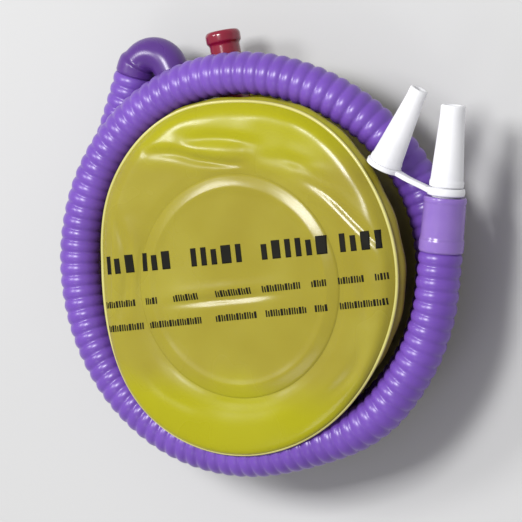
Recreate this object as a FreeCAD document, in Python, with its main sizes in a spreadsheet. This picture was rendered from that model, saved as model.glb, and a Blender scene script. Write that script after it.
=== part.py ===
import FreeCAD, Part
import math
import os

import Sketcher

# Bellows foot pump, lying flat on its base, with its corrugated hose wound round the waist.
# Millimetres. The origin is the centre of the flat base, +Z points up out of the tread, and
# the hose leaves the pump at the +Y side and ends in its nozzle at the +X side.

SIZES = {
    # Lower half of the bag: a flat pan with a rounded bulge under the wound hose.
    "base_radius": 52.0,
    "base_round": 4.0,
    "bulge_top": 8.6,
    "shoulder_radius": 47.6,
    "shoulder_height": 10.2,
    "base_wall": 1.2,
    "seam_height": 11.0,
    # Soft side wall of the bag, from the seam up to the stiff disc in the tread.
    "waist_radius": 46.3,
    "waist_top": 32.8,
    "lip_radius": 48.6,
    "lip_height": 36.0,
    "crown_radius": 45.4,
    "crown_height": 38.3,
    "crown_inside": 26.0,
    "film": 0.8,
    "bead_width": 1.1,
    # Tread: the disc that the foot presses, off the bag's centre, and the film over it.
    "tread_x": 2.2,
    "tread_y": -4.2,
    "tread_opening": 32.2,
    "tread_height": 39.3,
    "tread_gap": 0.3,
    "rim_width": 1.4,
    "rim_height": 1.6,
    "disc_radius": 30.2,
    "disc_underside": 36.6,
    "disc_thickness": 1.6,
    "film_crown": 0.5,
    # Return spring between the two discs.
    "base_disc_radius": 42.0,
    "spring_radius": 22.0,
    "spring_wire": 1.6,
    "spring_turns": 5.0,
    "seat_radius": 24.0,
    "seat_width": 1.5,
    "seat_rise": 2.2,
    # The two air ports, side by side in the waist, each with its flap valve.
    "port_height": 17.3,
    "outlet_angle": 119.0,
    "inlet_angle": 102.0,
    "port_flange_start": 43.6,
    "port_flange_end": 45.0,
    "port_flange_radius": 6.2,
    "port_radius": 4.4,
    "port_bore": 3.2,
    "port_clearance": 0.1,
    "outlet_end": 60.0,
    "inlet_lip_start": 66.0,
    "inlet_end": 69.2,
    "inlet_lip_radius": 4.9,
    "ring_start": 46.4,
    "ring_end": 47.5,
    "ring_radius": 5.4,
    "valve_disc_radius": 3.15,
    "valve_disc": 1.0,
    "seat_hole": 1.6,
    "flap_radius": 2.6,
    "flap_thickness": 0.6,
    "flap_play": 0.05,
    "flap_lift": 1.0,
    "stop_gap": 0.3,
    "stop_hole": 0.7,
    "stop_hole_circle": 2.1,
    "outlet_seat_start": 47.0,
    "inlet_seat_start": 48.0,
    # Moulded elbow that turns the outlet into the hose.
    "elbow_start": 50.0,
    "elbow_bend_start": 65.6,
    "elbow_bend": 6.0,
    "elbow_turn": 133.0,
    "elbow_tail": 2.0,
    "elbow_radius": 5.4,
    "elbow_bore": 4.5,
    # Corrugated hose: two strands, one above the other, and the climb between them.
    "hose_diameter": 12.4,
    "coil_radius": 54.5,
    "coil_centre": 1.5,
    "coil_points": 16.0,
    "lower_strand": 17.3,
    "upper_strand": 30.0,
    "climb_start": 375.0,
    "climb_end": 450.0,
    "hose_end_x": 61.4,
    "hose_end_y": 7.2,
    "nozzle_heading": 85.0,
    "lead_in": 10.0,
    "lead_out": 7.0,
    # Cuff on the hose's end, and the nozzle pushed into it.
    "cuff_length": 15.5,
    "cuff_radius": 6.3,
    "cuff_front_radius": 6.1,
    "cuff_air_bore": 2.5,
    "cuff_floor": 4.0,
    "cuff_bore": 3.8,
    "shank_radius": 3.75,
    "shank_length": 10.5,
    "shoulder_gap": 0.1,
    "neck_radius": 4.0,
    "neck_length": 2.8,
    "cone_radius": 4.8,
    "tip_radius": 3.45,
    "tip_land": 3.5,
    "nozzle_reach": 25.5,
    "nozzle_bore": 2.0,
    # Tether: a ring on the nozzle's neck, a band and the loop that holds the small adapter.
    "tether_ring_bore": 4.06,
    "tether_ring_radius": 5.4,
    "tether_ring_width": 2.2,
    "band_thickness": 1.5,
    "band_width": 4.0,
    "band_height": 32.4,
    "band_length": 11.0,
    "adapter_x": 45.4,
    "adapter_y": 31.7,
    "adapter_heading": 63.5,
    "adapter_radius": 4.65,
    "adapter_tip_radius": 2.6,
    "adapter_land": 3.0,
    "adapter_length": 23.3,
    "adapter_socket": 3.5,
    "adapter_socket_depth": 7.0,
    "adapter_bore": 1.5,
    "loop_radius": 5.1,
}

# Where the hose runs from the elbow to the coil, and from the coil to its cuff.
HOSE_LEAD_IN = [(-51.8, 30.5), (-54.6, 16.2)]
HOSE_LEAD_OUT = [(39.5, -41.0), (52.3, -25.2), (58.6, -10.8)]
COIL_FIRST_ANGLE = 180.0
COIL_LAST_ANGLE = 652.5
ARC_SHARE = 0.45

document = FreeCAD.newDocument("foot_pump")


class Length:
    """A number of millimetres together with the sheet formula that gives it."""

    def __init__(self, value, formula):
        self.value = value
        self.formula = formula

    def __add__(self, other):
        other = as_length(other)
        return Length(self.value + other.value, f"({self.formula} + {other.formula})")

    def __sub__(self, other):
        other = as_length(other)
        return Length(self.value - other.value, f"({self.formula} - {other.formula})")

    def __mul__(self, factor):
        return Length(self.value * factor, f"({self.formula} * {factor})")


def as_length(number):
    """A plain number becomes a Length, and a Length stays as it is."""
    if isinstance(number, Length):
        return number
    return Length(float(number), str(float(number)))


def make_sheet():
    """Puts every driving dimension in the sheet, and gives each back under its alias."""
    sheet = document.addObject("Spreadsheet::Sheet", "Sizes")
    lengths = {}
    for row, (alias, number) in enumerate(SIZES.items(), start=1):
        sheet.set(f"A{row}", alias)
        sheet.set(f"B{row}", str(number))
        sheet.setAlias(f"B{row}", alias)
        lengths[alias] = Length(number, f"Sizes.{alias}")
    document.recompute()
    return lengths


size = make_sheet()


def origin_plane(body, role):
    """The body's own origin plane with this role."""
    for feature in body.Origin.OriginFeatures:
        if feature.Role == role:
            return feature
    raise ValueError(role)


def new_sketch(body, name, role):
    """An empty sketch on one of the body's origin planes."""
    sketch = body.newObject("Sketcher::SketchObject", name)
    sketch.AttachmentSupport = [(origin_plane(body, role), "")]
    sketch.MapMode = "FlatFace"
    return sketch


def bind(sketch, constraint, length):
    """Adds a constraint whose value follows the sheet."""
    index = sketch.addConstraint(constraint)
    sketch.setExpression(f"Constraints[{index}]", length.formula)


def draw_outline(sketch, corners):
    """A closed outline of straight lines, with each corner held at its place."""
    corners = [(as_length(across), as_length(along)) for across, along in corners]
    places = [FreeCAD.Vector(across.value, along.value, 0) for across, along in corners]
    count = len(corners)
    for index in range(count):
        sketch.addGeometry(Part.LineSegment(places[index], places[(index + 1) % count]), False)
    for index in range(count):
        sketch.addConstraint(Sketcher.Constraint("Coincident", index, 2, (index + 1) % count, 1))
    for index, (across, along) in enumerate(corners):
        if across.value == 0.0:
            sketch.addConstraint(Sketcher.Constraint("PointOnObject", index, 1, -2))
        else:
            bind(sketch, Sketcher.Constraint("DistanceX", -1, 1, index, 1, across.value), across)
        if along.value == 0.0:
            sketch.addConstraint(Sketcher.Constraint("PointOnObject", index, 1, -1))
        else:
            bind(sketch, Sketcher.Constraint("DistanceY", -1, 1, index, 1, along.value), along)


def circle_edge(shape, corner):
    """The name of the circular edge that the outline's corner sweeps."""
    across, along = corner[0].value, corner[1].value
    for index, edge in enumerate(shape.Edges, start=1):
        curve = edge.Curve
        if not isinstance(curve, Part.Circle):
            continue
        if abs(curve.Radius - across) < 1e-4 and abs(curve.Center.z - along) < 1e-4:
            return f"Edge{index}"
    raise ValueError(f"no edge at {across}, {along}")


def turned(name, corners, rounds=()):
    """A body of revolution about its own Z axis; rounds lists (corner, fillet radius)."""
    body = document.addObject("PartDesign::Body", name)
    body.Label = name
    sketch = new_sketch(body, f"{name}_outline", "XZ_Plane")
    draw_outline(sketch, corners)
    revolution = body.newObject("PartDesign::Revolution", f"{name}_turned")
    revolution.Profile = sketch
    revolution.ReferenceAxis = (sketch, ["V_Axis"])
    revolution.Angle = 360.0
    sketch.Visibility = False
    document.recompute()
    base = revolution
    for number, (corner, radius) in enumerate(rounds):
        corner = (as_length(corner[0]), as_length(corner[1]))
        fillet = body.newObject("PartDesign::Fillet", f"{name}_round_{number}")
        fillet.Base = (base, [circle_edge(base.Shape, corner)])
        fillet.setExpression("Radius", as_length(radius).formula)
        document.recompute()
        base = fillet
    body.Tip = base
    return body


def drilled(name, blank, tools):
    """The blank with each tool cut out of it, under the sub-part's own name."""
    blank.Label = f"{name}_blank"
    for number, tool in enumerate(tools):
        cut = document.addObject("Part::Cut", f"{name}_cut_{number}")
        cut.Base = blank
        cut.Tool = tool
        blank = cut
    blank.Label = name
    return blank


def drill(name, radius, length, placement):
    """A plain cylinder used as a cutting tool."""
    cylinder = document.addObject("Part::Cylinder", name)
    cylinder.setExpression("Radius", as_length(radius).formula)
    cylinder.setExpression("Height", as_length(length).formula)
    cylinder.Placement = placement
    return cylinder


def direction(heading):
    """The level unit vector at this heading, in degrees anticlockwise from +X."""
    turn = math.radians(heading)
    return FreeCAD.Vector(math.cos(turn), math.sin(turn), 0)


def along_axis(origin, axis):
    """The placement that puts a turned piece's own Z axis along the axis given."""
    return FreeCAD.Placement(origin, FreeCAD.Rotation(FreeCAD.Vector(0, 0, 1), axis))


def over_tread_centre(piece):
    """Moves a turned piece from the bag's centre to the tread's, and gives it back."""
    piece.Placement.Base = FreeCAD.Vector(size["tread_x"].value, size["tread_y"].value, 0)
    return piece


def base_cup():
    """Lower half of the bag: the flat base, the bulge and the shoulder up to the seam."""
    outer = size["base_radius"]
    wall = size["base_wall"]
    seam_inside = size["waist_radius"] - size["film"]
    bottom_corner = (outer, 0)
    bulge_corner = (outer, size["bulge_top"])
    corners = [
        (0, 0),
        bottom_corner,
        bulge_corner,
        (size["shoulder_radius"], size["shoulder_height"]),
        (size["waist_radius"], size["shoulder_height"]),
        (size["waist_radius"], size["seam_height"]),
        (seam_inside, size["seam_height"]),
        (seam_inside, size["shoulder_height"] - wall),
        (outer - wall, size["bulge_top"] - wall),
        (outer - wall, wall),
        (0, wall),
    ]
    rounds = [
        (bottom_corner, size["base_round"]),
        ((outer - wall, wall), size["base_round"] - wall),
        (bulge_corner, size["base_round"] * 0.5),
    ]
    return turned("base_cup", corners, rounds)


def base_plate():
    """Stiff disc on the floor of the bag, with the ring that seats the spring."""
    floor = size["base_wall"]
    top = floor + size["disc_thickness"]
    seat_top = top + size["seat_rise"]
    seat_outside = size["seat_radius"] + size["seat_width"]
    return over_tread_centre(turned("base_plate", [
        (0, floor),
        (size["base_disc_radius"], floor),
        (size["base_disc_radius"], top),
        (seat_outside, top),
        (seat_outside, seat_top),
        (size["seat_radius"], seat_top),
        (size["seat_radius"], top),
        (0, top),
    ]))


def lower_weld_bead():
    """Bead of weld round the seam between the pan and the side wall."""
    inside = size["waist_radius"]
    outside = inside + size["bead_width"]
    bottom = size["shoulder_height"]
    top = bottom + size["rim_height"]
    rounds = [((outside, top), size["bead_width"] * 0.7)]
    return turned("lower_weld_bead", [(inside, bottom), (outside, bottom), (outside, top), (inside, top)], rounds)


def port_placement(heading):
    """Places a piece turned about Z along the port at this heading, from the pump's axis."""
    return along_axis(FreeCAD.Vector(0, 0, size["port_height"].value), direction(heading))


def bellows_wall():
    """Soft side wall: the waist, the lip over the hose and the crown up to the tread."""
    film = size["film"]
    waist = size["waist_radius"]
    waist_corner = (waist, size["waist_top"])
    lip_corner = (size["lip_radius"], size["lip_height"])
    crown_corner = (size["crown_radius"], size["crown_height"])
    inner_lip = (size["lip_radius"] - film * 1.2, size["lip_height"])
    corners = [
        (waist, size["seam_height"]),
        waist_corner,
        lip_corner,
        crown_corner,
        (size["crown_inside"], size["tread_height"]),
        (size["crown_inside"], size["tread_height"] - film),
        (size["crown_radius"], size["crown_height"] - film),
        inner_lip,
        (waist - film, size["waist_top"] + film * 0.4),
        (waist - film, size["seam_height"]),
    ]
    rounds = [
        (waist_corner, 3.0),
        (lip_corner, 1.0),
        (crown_corner, 6.0),
    ]
    blank = turned("bellows_wall", corners, rounds)
    hole_radius = size["port_radius"] + size["port_clearance"]
    tread_place = FreeCAD.Vector(size["tread_x"].value, size["tread_y"].value, size["disc_underside"].value)
    tread_placement = FreeCAD.Placement(tread_place, FreeCAD.Rotation())
    tools = [drill("tread_hole", size["tread_opening"], size["tread_height"], tread_placement)]
    for port in ("outlet", "inlet"):
        placement = port_placement(size[f"{port}_angle"].value)
        tools.append(drill(f"{port}_wall_hole", hole_radius, size["outlet_end"], placement))
    return drilled("bellows_wall", blank, tools)


def tread_plate():
    """Stiff disc under the tread film, with the ring that keeps the spring in place."""
    bottom = size["disc_underside"]
    top = bottom + size["disc_thickness"]
    seat_bottom = bottom - size["seat_rise"]
    seat_outside = size["seat_radius"] + size["seat_width"]
    return over_tread_centre(turned("tread_plate", [
        (0, bottom),
        (size["seat_radius"], bottom),
        (size["seat_radius"], seat_bottom),
        (seat_outside, seat_bottom),
        (seat_outside, bottom),
        (size["disc_radius"], bottom),
        (size["disc_radius"], top),
        (0, top),
    ]))


def rim_radii():
    """Inside and outside radius of the raised rim round the tread."""
    outside = size["tread_opening"] - size["tread_gap"]
    return outside - size["rim_width"], outside


def tread_film():
    """Film of the tread inside its raised rim, crowned a little in the middle."""
    edge, _ = rim_radii()
    bottom = size["disc_underside"] + size["disc_thickness"]
    top = bottom + size["film"]
    corners = [(0, bottom), (edge, bottom), (edge, top), (0, top + size["film_crown"])]
    return over_tread_centre(turned("tread_film", corners))


def tread_rim_bead():
    """Raised rim welded round the tread film."""
    inside, outside = rim_radii()
    bottom = size["disc_underside"] + size["disc_thickness"]
    top = bottom + size["rim_height"]
    rounds = [((outside, top), size["rim_width"] * 0.45), ((inside, top), size["rim_width"] * 0.45)]
    corners = [(inside, bottom), (outside, bottom), (outside, top), (inside, top)]
    return over_tread_centre(turned("tread_rim_bead", corners, rounds))


def return_spring():
    """Coil spring between the base disc and the tread disc."""
    wire = size["spring_wire"]
    start = size["base_wall"] + size["disc_thickness"] + wire * 0.5
    end = size["disc_underside"] - wire * 0.5
    body = document.addObject("PartDesign::Body", "return_spring")
    body.Label = "return_spring"
    sketch = new_sketch(body, "spring_wire_section", "XZ_Plane")
    centre = FreeCAD.Vector(size["spring_radius"].value, start.value, 0)
    upright = FreeCAD.Vector(0, 0, 1)
    sketch.addGeometry(Part.Circle(centre, upright, wire.value / 2), False)
    bind(sketch, Sketcher.Constraint("Diameter", 0, wire.value), wire)
    bind(sketch, Sketcher.Constraint("DistanceX", -1, 1, 0, 3, centre.x), size["spring_radius"])
    bind(sketch, Sketcher.Constraint("DistanceY", -1, 1, 0, 3, centre.y), start)
    helix = body.newObject("PartDesign::AdditiveHelix", "spring_coil")
    helix.Profile = sketch
    helix.ReferenceAxis = (sketch, ["V_Axis"])
    helix.Mode = 2
    helix.setExpression("Height", (end - start).formula)
    helix.setExpression("Turns", size["spring_turns"].formula)
    body.Tip = helix
    return over_tread_centre(body)


def port_tube(name, heading, end, lip):
    """Moulded port: a flange inside the bag and a tube out through the wall."""
    bore = size["port_bore"]
    tube = size["port_radius"]
    corners = [
        (bore, size["port_flange_start"]),
        (size["port_flange_radius"], size["port_flange_start"]),
        (size["port_flange_radius"], size["port_flange_end"]),
        (tube, size["port_flange_end"]),
    ]
    rounds = []
    if lip:
        start = size["inlet_lip_start"]
        outer = size["inlet_lip_radius"]
        corners += [(tube, start), (outer, start), (outer, end)]
        rounds = [((outer, end), 1.2), ((outer, start), 0.4)]
    else:
        corners += [(tube, end)]
    corners += [(bore, end)]
    piece = turned(name, corners, rounds)
    piece.Placement = port_placement(heading)
    return piece


def wall_ring(name, heading):
    """Ring that backs the wall from outside, round the port's tube."""
    bore = size["port_radius"] + size["port_clearance"]
    outside = size["ring_radius"]
    start, end = size["ring_start"], size["ring_end"]
    piece = turned(name, [(bore, start), (outside, start), (outside, end), (bore, end)],
                   [((outside, end), 0.5)])
    piece.Placement = port_placement(heading)
    return piece


def valve_disc(name, heading, start, hole):
    """Disc across the port's bore with a round hole in its middle."""
    outside = size["valve_disc_radius"]
    end = start + size["valve_disc"]
    piece = turned(name, [(hole, start), (outside, start), (outside, end), (hole, end)])
    piece.Placement = port_placement(heading)
    return piece


def flap(name, heading, start):
    """Loose rubber disc that closes the seat's hole."""
    outside = size["flap_radius"]
    end = start + size["flap_thickness"]
    piece = turned(name, [(0, start), (outside, start), (outside, end), (0, end)])
    piece.Placement = port_placement(heading)
    return piece


def flap_stop(name, heading, start):
    """Disc with four air holes that limits the flap's lift."""
    outside = size["valve_disc_radius"]
    end = start + size["valve_disc"]
    blank = turned(name, [(0, start), (outside, start), (outside, end), (0, end)])
    blank.Placement = port_placement(heading)
    tools = []
    for quarter in range(4):
        across = direction(45 + 90 * quarter) * size["stop_hole_circle"].value
        local = FreeCAD.Placement(across, FreeCAD.Rotation())
        placement = port_placement(heading).multiply(local)
        tools.append(drill(f"{name}_hole_{quarter}", size["stop_hole"], size["outlet_end"], placement))
    return drilled(name, blank, tools)


def outlet_valve():
    """Outlet port: the flap sits on the outer side of its seat, so air only leaves."""
    heading = size["outlet_angle"].value
    seat_start = size["outlet_seat_start"]
    flap_start = seat_start + size["valve_disc"] + size["flap_play"]
    stop_start = flap_start + size["flap_thickness"] + size["flap_lift"] + size["stop_gap"]
    return [
        port_tube("outlet_spigot", heading, size["outlet_end"], lip=False),
        wall_ring("outlet_wall_ring", heading),
        valve_disc("outlet_valve_seat", heading, seat_start, size["seat_hole"]),
        flap("outlet_flap", heading, flap_start),
        flap_stop("outlet_flap_stop", heading, stop_start),
    ]


def inlet_valve():
    """Inlet port: the flap sits on the inner side of its seat, so air only enters."""
    heading = size["inlet_angle"].value
    seat_start = size["inlet_seat_start"]
    flap_start = seat_start - size["flap_play"] - size["flap_thickness"]
    stop_start = flap_start - size["flap_lift"] - size["stop_gap"] - size["valve_disc"]
    return [
        port_tube("inlet_port", heading, size["inlet_end"], lip=True),
        wall_ring("inlet_wall_ring", heading),
        valve_disc("inlet_valve_seat", heading, seat_start, size["seat_hole"]),
        flap("inlet_flap", heading, flap_start),
        flap_stop("inlet_flap_stop", heading, stop_start),
    ]


def outlet_elbow():
    """Moulded elbow over the outlet's tube: a socket, a tight bend and a short tail."""
    body = document.addObject("PartDesign::Body", "outlet_elbow")
    body.Label = "outlet_elbow"
    run = size["elbow_bend_start"] - size["elbow_start"]
    bend = size["elbow_bend"]
    turn = math.radians(size["elbow_turn"].value)
    tail = size["elbow_tail"]
    path = new_sketch(body, "elbow_path", "XY_Plane")
    centre = FreeCAD.Vector(run.value, bend.value, 0)
    bend_end = centre + FreeCAD.Vector(math.sin(turn), -math.cos(turn), 0) * bend.value
    tail_end = bend_end + FreeCAD.Vector(math.cos(turn), math.sin(turn), 0) * tail.value
    upright = FreeCAD.Vector(0, 0, 1)
    path.addGeometry(Part.LineSegment(FreeCAD.Vector(0, 0, 0), FreeCAD.Vector(run.value, 0, 0)), False)
    circle = Part.Circle(centre, upright, bend.value)
    path.addGeometry(Part.ArcOfCircle(circle, -math.pi / 2, -math.pi / 2 + turn), False)
    path.addGeometry(Part.LineSegment(bend_end, tail_end), False)
    path.addConstraint(Sketcher.Constraint("Coincident", 0, 1, -1, 1))
    path.addConstraint(Sketcher.Constraint("Horizontal", 0))
    path.addConstraint(Sketcher.Constraint("Tangent", 0, 2, 1, 1))
    path.addConstraint(Sketcher.Constraint("Tangent", 1, 2, 2, 1))
    bind(path, Sketcher.Constraint("Distance", 0, run.value), run)
    bind(path, Sketcher.Constraint("Radius", 1, bend.value), bend)
    bind(path, Sketcher.Constraint("Distance", 2, tail.value), tail)
    angle = Length(turn, f"{size['elbow_turn'].formula} * 1 deg")
    bind(path, Sketcher.Constraint("Angle", 2, turn), angle)
    section = new_sketch(body, "elbow_section", "YZ_Plane")
    for number, radius in enumerate((size["elbow_radius"], size["elbow_bore"])):
        section.addGeometry(Part.Circle(FreeCAD.Vector(0, 0, 0), upright, radius.value), False)
        section.addConstraint(Sketcher.Constraint("Coincident", number, 3, -1, 1))
        bind(section, Sketcher.Constraint("Radius", number, radius.value), radius)
    pipe = body.newObject("PartDesign::AdditivePipe", "elbow_pipe")
    pipe.Profile = section
    pipe.Spine = (path, ["Edge1", "Edge2", "Edge3"])
    body.Tip = pipe
    heading = size["outlet_angle"].value
    start = direction(heading) * size["elbow_start"].value
    start.z = size["port_height"].value
    body.Placement = FreeCAD.Placement(start, FreeCAD.Rotation(upright, heading))
    return body


def elbow_mouth():
    """The elbow's open end, where the hose starts."""
    heading = size["outlet_angle"].value
    turn = size["elbow_turn"].value
    bend_start = direction(heading) * size["elbow_bend_start"].value
    centre = bend_start + direction(heading + 90) * size["elbow_bend"].value
    bend_end = centre + direction(heading + turn - 90) * size["elbow_bend"].value
    mouth = bend_end + direction(heading + turn) * size["elbow_tail"].value
    mouth.z = size["port_height"].value
    return mouth


def strand_height(angle):
    """Height of the coil at this angle: the lower strand, a smooth climb, the upper strand."""
    low, high = size["lower_strand"].value, size["upper_strand"].value
    first, last = size["climb_start"].value, size["climb_end"].value
    share = min(max((angle - first) / (last - first), 0.0), 1.0)
    return low + (high - low) * share * share * (3 - 2 * share)


def hose_route():
    """The corners of the hose's route, from the elbow round the waist to the cuff."""
    low, high = size["lower_strand"].value, size["upper_strand"].value
    step = 360.0 / size["coil_points"].value
    corner_radius = size["coil_radius"].value / math.cos(math.radians(step / 2))
    mouth_heading = size["outlet_angle"].value + size["elbow_turn"].value
    points = [elbow_mouth()]
    points.append(elbow_mouth() + direction(mouth_heading) * size["lead_in"].value)
    points += [FreeCAD.Vector(x, y, low) for x, y in HOSE_LEAD_IN]
    angle = COIL_FIRST_ANGLE
    while angle <= COIL_LAST_ANGLE:
        point = direction(angle) * corner_radius
        point.y += size["coil_centre"].value
        point.z = strand_height(angle)
        points.append(point)
        angle += step
    points += [FreeCAD.Vector(x, y, high) for x, y in HOSE_LEAD_OUT]
    points.append(hose_end() - direction(size["nozzle_heading"].value) * size["lead_out"].value)
    points.append(hose_end())
    return points


def hose_end():
    """Centre of the hose's last section, where the cuff starts."""
    return FreeCAD.Vector(size["hose_end_x"].value, size["hose_end_y"].value, size["upper_strand"].value)


def rounded_path(points):
    """Straight runs through the points, joined by arcs as large as the runs allow."""
    edges = []
    radii = []
    place = points[0]
    for before, corner, after in zip(points, points[1:], points[2:]):
        incoming = (corner - before).normalize()
        outgoing = (after - corner).normalize()
        half_turn = incoming.getAngle(outgoing) / 2
        cut = ARC_SHARE * min((corner - before).Length, (after - corner).Length)
        radius = cut / math.tan(half_turn)
        arc_start = corner - incoming * cut
        arc_end = corner + outgoing * cut
        inward = (outgoing - incoming).normalize()
        middle = corner + inward * (radius / math.cos(half_turn) - radius)
        edges.append(Part.LineSegment(place, arc_start).toShape())
        edges.append(Part.Arc(arc_start, middle, arc_end).toShape())
        radii.append(radius)
        place = arc_end
    edges.append(Part.LineSegment(place, points[-1]).toShape())
    return Part.Wire(edges), radii


def hose():
    """The hose as a plain round tube along its whole route."""
    points = hose_route()
    path, radii = rounded_path(points)
    radius = size["hose_diameter"].value / 2
    start = points[0]
    circle = Part.Circle(start, points[1] - points[0], radius)
    section = Part.Wire([circle.toShape()])
    solid = path.makePipeShell([section], True, False)
    expected = math.pi * radius ** 2 * path.Length
    print("hose length", round(path.Length, 1), "volume ratio", round(solid.Volume / expected, 5))
    print("hose radii", [round(value, 1) for value in radii])
    piece = document.addObject("Part::Feature", "hose")
    piece.Label = "hose"
    piece.Shape = solid
    piece.Placement = FreeCAD.Placement()
    return piece


def hose_end_cuff():
    """Smooth cuff on the hose's end, with the socket that takes the nozzle."""
    length = size["cuff_length"]
    rear = (size["cuff_radius"], size["cuff_floor"])
    front = (size["cuff_front_radius"], length)
    corners = [
        (size["cuff_air_bore"], 0),
        (size["cuff_radius"], 0),
        rear,
        front,
        (size["cuff_bore"], length),
        (size["cuff_bore"], size["cuff_floor"]),
        (size["cuff_air_bore"], size["cuff_floor"]),
    ]
    piece = turned("hose_end_cuff", corners, [(front, 0.8)])
    piece.Placement = along_axis(hose_end(), direction(size["nozzle_heading"].value))
    return piece


def nozzle_origin():
    """Inner end of the nozzle's shank, inside the cuff."""
    reach = size["cuff_length"] + size["shoulder_gap"] - size["shank_length"]
    return hose_end() + direction(size["nozzle_heading"].value) * reach.value


def nozzle():
    """Tapered nozzle: shank in the cuff, neck for the tether's ring, cone and straight tip."""
    shank_end = size["shank_length"]
    neck_end = shank_end + size["neck_length"]
    tip = shank_end + size["nozzle_reach"]
    bore = size["nozzle_bore"]
    tip_corner = (size["tip_radius"], tip)
    corners = [
        (bore, 0),
        (size["shank_radius"], 0),
        (size["shank_radius"], shank_end),
        (size["neck_radius"], shank_end),
        (size["neck_radius"], neck_end),
        (size["cone_radius"], neck_end),
        (size["tip_radius"], tip - size["tip_land"]),
        tip_corner,
        (bore, tip),
    ]
    piece = turned("nozzle", corners, [(tip_corner, 0.4), ((size["cone_radius"], neck_end), 0.3)])
    piece.Placement = along_axis(nozzle_origin(), direction(size["nozzle_heading"].value))
    return piece


def adapter_origin():
    """Centre of the adapter's base, against the tether's loop."""
    return FreeCAD.Vector(size["adapter_x"].value, size["adapter_y"].value, size["band_height"].value)


def adapter_nozzle():
    """Small tapered adapter, with a socket in its base that fits over the nozzle's tip."""
    length = size["adapter_length"]
    tip = size["adapter_tip_radius"]
    tip_corner = (tip, length)
    corners = [
        (size["adapter_socket"], 0),
        (size["adapter_radius"], 0),
        (tip, length - size["adapter_land"]),
        tip_corner,
        (size["adapter_bore"], length),
        (size["adapter_bore"], size["adapter_socket_depth"]),
        (size["adapter_socket"], size["adapter_socket_depth"]),
    ]
    piece = turned("adapter_nozzle", corners, [(tip_corner, 0.4)])
    piece.Placement = along_axis(adapter_origin(), direction(size["adapter_heading"].value))
    return piece


def tether_strap():
    """Moulded tether: ring on the nozzle's neck, flat band, and loop under the adapter."""
    thickness = size["band_thickness"]
    ring_gap = (size["neck_length"] - size["tether_ring_width"]) * 0.5
    nozzle_axis = direction(size["nozzle_heading"].value)
    ring_start = nozzle_origin() + nozzle_axis * (size["shank_length"] + ring_gap).value
    ring = turned("tether_ring", [
        (size["tether_ring_bore"], 0),
        (size["tether_ring_radius"], 0),
        (size["tether_ring_radius"], size["tether_ring_width"]),
        (size["tether_ring_bore"], size["tether_ring_width"]),
    ])
    ring.Placement = along_axis(ring_start, nozzle_axis)
    adapter_axis = direction(size["adapter_heading"].value)
    loop_start = adapter_origin() - adapter_axis * thickness.value
    loop = turned("tether_loop", [
        (size["adapter_socket"], 0),
        (size["loop_radius"], 0),
        (size["loop_radius"], thickness),
        (size["adapter_socket"], thickness),
    ])
    loop.Placement = along_axis(loop_start, adapter_axis)
    band = document.addObject("Part::Box", "tether_band")
    band.setExpression("Length", size["band_length"].formula)
    band.setExpression("Width", thickness.formula)
    band.setExpression("Height", size["band_width"].formula)
    across = direction(size["adapter_heading"].value - 90)
    band_start = loop_start + across * (size["adapter_socket"].value + 0.5)
    band_start.z -= size["band_width"].value / 2
    band.Placement = FreeCAD.Placement(
        band_start, FreeCAD.Rotation(FreeCAD.Vector(0, 0, 1), size["adapter_heading"].value - 90))
    tether = document.addObject("Part::MultiFuse", "tether_strap")
    tether.Shapes = [ring, loop, band]
    tether.Label = "tether_strap"
    return tether


def build():
    """Makes every sub-part and checks the whole document."""
    pieces = [
        base_cup(),
        base_plate(),
        lower_weld_bead(),
        bellows_wall(),
        return_spring(),
        tread_plate(),
        tread_film(),
        tread_rim_bead(),
    ]
    pieces += outlet_valve()
    pieces += inlet_valve()
    pieces += [
        outlet_elbow(),
        hose(),
        hose_end_cuff(),
        nozzle(),
        adapter_nozzle(),
        tether_strap(),
    ]
    document.recompute()
    for item in document.Objects:
        if "Invalid" in item.State or "Error" in item.State:
            raise RuntimeError(f"{item.Label} failed: {item.State}")
    for piece in pieces:
        if piece.Shape.isNull() or not piece.Shape.isValid():
            raise RuntimeError(f"{piece.Label} has no valid shape")
    return pieces


def write_steps(pieces):
    """Writes one STEP file per sub-part, named after its label."""
    os.makedirs("parts", exist_ok=True)
    for piece in pieces:
        piece.Shape.exportStep(f"parts/{piece.Label}.step")
        print(piece.Label, "solids", len(piece.Shape.Solids), "volume", round(piece.Shape.Volume, 2))


write_steps(build())
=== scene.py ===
import math

import bpy
import numpy as np
from mathutils import Matrix, Vector
from mathutils.bvhtree import BVHTree


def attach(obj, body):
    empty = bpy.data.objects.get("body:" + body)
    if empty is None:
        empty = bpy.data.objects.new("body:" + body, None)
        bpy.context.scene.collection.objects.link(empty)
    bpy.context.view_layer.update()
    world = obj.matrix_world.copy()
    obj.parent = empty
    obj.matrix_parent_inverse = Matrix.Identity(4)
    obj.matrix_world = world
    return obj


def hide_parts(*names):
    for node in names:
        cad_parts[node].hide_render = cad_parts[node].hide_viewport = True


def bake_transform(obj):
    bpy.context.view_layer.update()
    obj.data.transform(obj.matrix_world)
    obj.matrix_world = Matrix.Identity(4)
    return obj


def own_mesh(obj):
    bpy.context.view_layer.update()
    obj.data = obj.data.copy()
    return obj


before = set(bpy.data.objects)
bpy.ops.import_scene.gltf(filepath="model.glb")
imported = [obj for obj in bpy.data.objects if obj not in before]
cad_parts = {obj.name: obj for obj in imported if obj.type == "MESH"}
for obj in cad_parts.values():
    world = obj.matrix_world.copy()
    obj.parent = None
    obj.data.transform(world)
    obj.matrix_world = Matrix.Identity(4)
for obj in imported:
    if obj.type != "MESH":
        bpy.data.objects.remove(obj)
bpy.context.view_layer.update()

# Bellows foot pump lying flat on its base, with its corrugated hose wound round the waist.
# Lengths below are in millimetres, and MM turns them into Blender's metres.
MM = 0.001

# Meshes: points round the bag and round a lathed piece, and steps in a rounded corner
AROUND = 512
LATHE_AROUND = 96
LATHE_SHARP_ANGLE = 35
CORNER_STEPS = 5

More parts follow.
